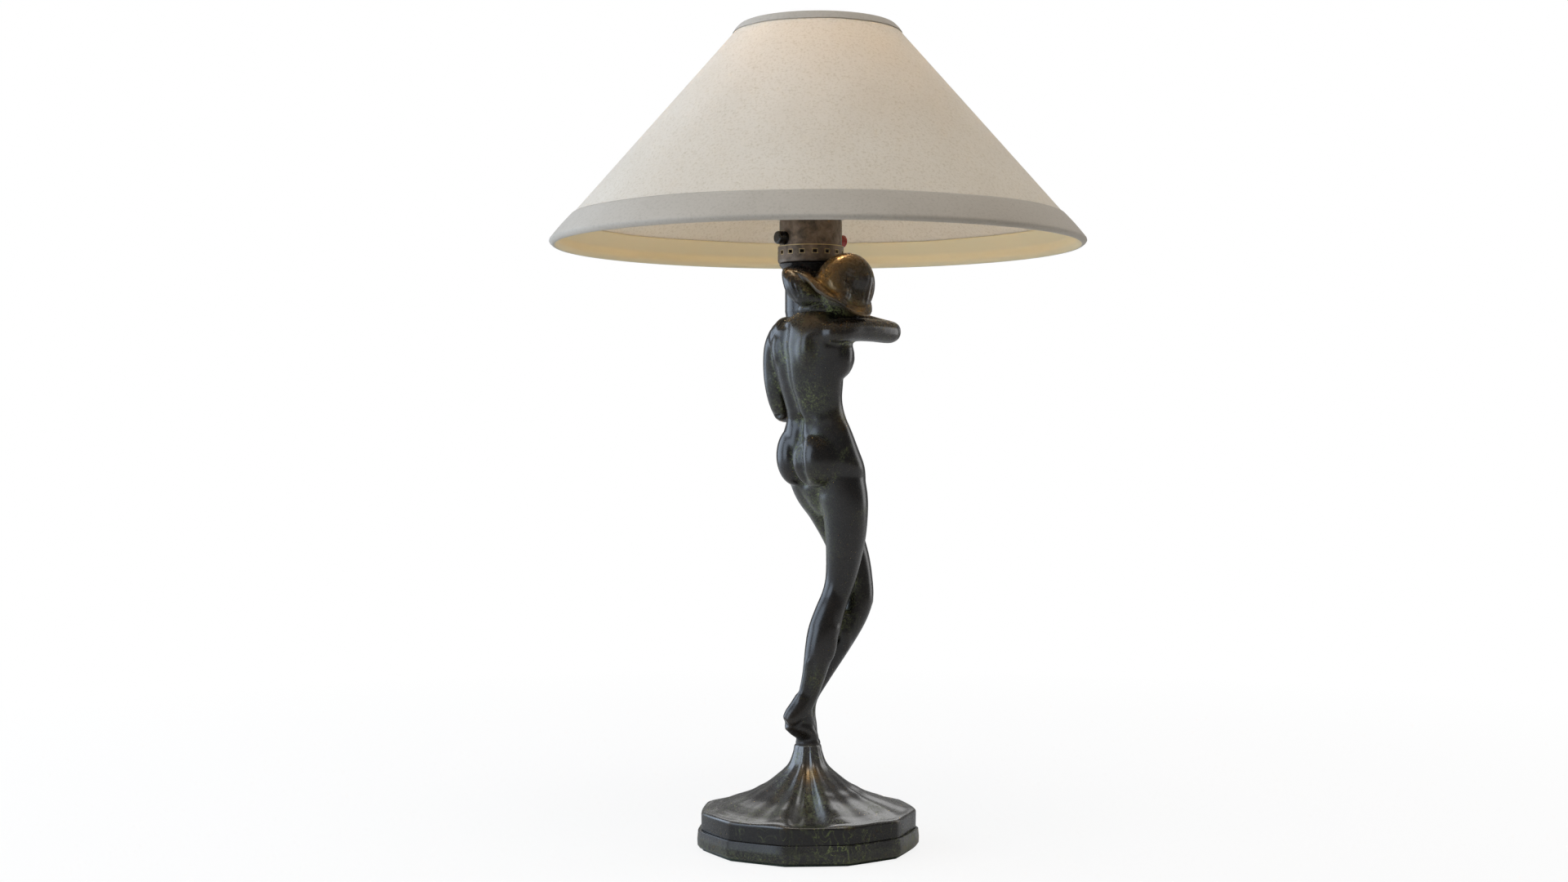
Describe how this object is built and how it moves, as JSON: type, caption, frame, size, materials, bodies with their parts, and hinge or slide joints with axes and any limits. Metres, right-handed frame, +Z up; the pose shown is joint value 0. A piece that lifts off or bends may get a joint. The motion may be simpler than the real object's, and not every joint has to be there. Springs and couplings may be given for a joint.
{
  "type": "figural table lamp",
  "caption": "Table lamp: cast figure hugging a tall vase on a draped many-sided plinth, push-button socket, wide cone shade of linen.",
  "frame": {"origin": "centre of the plinth on the table top", "axes": "+Z up; -Y is the side with the figure's back, which the picture shows; +X is to the right in that view"},
  "size_m": [0.3539, 0.3538, 0.5433],
  "materials": {
    "felt": "felt",
    "plinth_bronze": "cast, brown patina",
    "bronze": "cast, dark brown patina with green in the hollows",
    "dark_bronze": "cast, near black patina",
    "steel": "zinc plated",
    "brass": "turned",
    "antique_brass": "antique brown plating",
    "fibre": "pressed fibre",
    "porcelain": "glazed",
    "black_plastic": "moulded, glossy",
    "red_plastic": "moulded, glossy",
    "bulb_glass": "frosted inside",
    "bulb_metal": "rolled thread",
    "bulb_tip": "black glass with solder",
    "bulb_mount": "clear glass post and wires",
    "shade_cloth": "linen weave on stiff backing",
    "trim_cloth": "folded linen tape",
    "lead_plastic": "moulded"
  },
  "bodies": {
    "lamp": {"felt_pad": "felt", "plinth": "plinth_bronze", "base_drape": "bronze", "tie_screws": "steel", "cord_bushing": "black_plastic", "foot_stud": "steel", "foot_washer": "steel", "foot_nut": "steel", "figure_body": "bronze", "head_and_hat": "bronze", "right_arm": "bronze", "left_arm": "bronze", "vase": "dark_bronze", "vase_cup": "dark_bronze", "socket_nipple": "brass", "nipple_nut": "brass", "socket_cap": "antique_brass", "socket_shell": "antique_brass", "socket_liner": "fibre", "socket_block": "porcelain", "switch_blade": "brass", "terminal_screws": "brass", "screw_shell": "brass", "centre_contact": "brass", "inner_lead": "lead_plastic"},
    "push_bar": {"push_rod": "fibre", "black_button": "black_plastic", "red_button": "red_plastic"},
    "shade": {"shade_fitter": "antique_brass", "shade_top_wire": "steel", "shade_bottom_wire": "steel", "shade_fabric": "shade_cloth", "shade_top_trim": "trim_cloth", "shade_bottom_trim": "trim_cloth"},
    "ring_nut": {"shade_ring_nut": "antique_brass"},
    "bulb": {"bulb_glass": "bulb_glass", "bulb_cap": "bulb_metal", "bulb_tip": "bulb_tip", "bulb_mount": "bulb_mount"}
  },
  "joints": [
    {"name": "push_bar_slide", "type": "slide", "parent": "lamp", "child": "push_bar", "axis": [0.8387, 0.5446, 0], "range_m": [0, 0.004]},
    {"name": "shade_turn", "type": "hinge", "parent": "lamp", "child": "shade", "pos_m": [0.002, 0, 0.4166], "axis": [0, 0, 1], "continuous": true},
    {"name": "ring_nut_turn", "type": "hinge", "parent": "lamp", "child": "ring_nut", "pos_m": [0.002, 0, 0.422], "axis": [0, 0, 1], "continuous": true},
    {"name": "bulb_turn", "type": "hinge", "parent": "lamp", "child": "bulb", "pos_m": [0.002, 0, 0.43], "axis": [0, 0, 1], "continuous": true}
  ]
}
